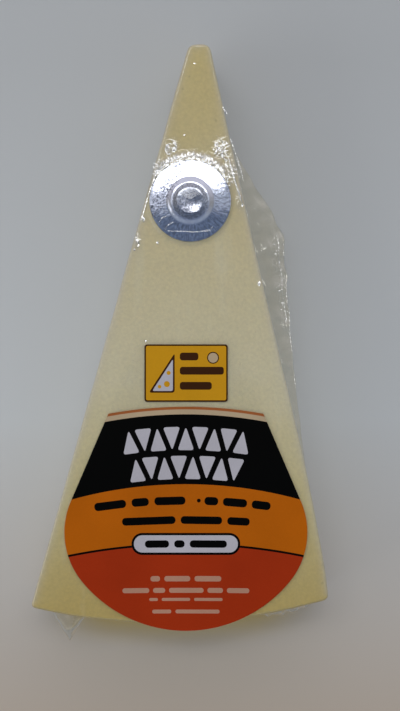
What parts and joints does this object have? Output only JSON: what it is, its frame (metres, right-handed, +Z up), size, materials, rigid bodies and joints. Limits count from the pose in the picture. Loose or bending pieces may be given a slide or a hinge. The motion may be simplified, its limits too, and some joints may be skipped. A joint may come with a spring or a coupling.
{
  "type": "wedge of pecorino romano in clear film",
  "caption": "Narrow wedge of hard sheep's-milk cheese lying flat in clear shrink film, with a rounded front label, a round foil seal and a pleated film seam along one side.",
  "frame": {"origin": "middle of the footprint, on the surface the wedge lies on", "axes": "+Z up through the two flat faces, +Y towards the nose, +X to the right as the label faces up with its foot towards -Y"},
  "size_m": [0.0692, 0.14, 0.0337],
  "materials": {
    "film_wrapped_cheese": "pale straw cheese under tight clear film",
    "label_print": "printed film label in black, amber and red fields",
    "seal_foil": "embossed silver foil"
  },
  "bodies": {
    "root": {"wrapped_wedge": "film_wrapped_cheese", "front_label": "label_print", "foil_seal": "seal_foil"}
  },
  "joints": []
}
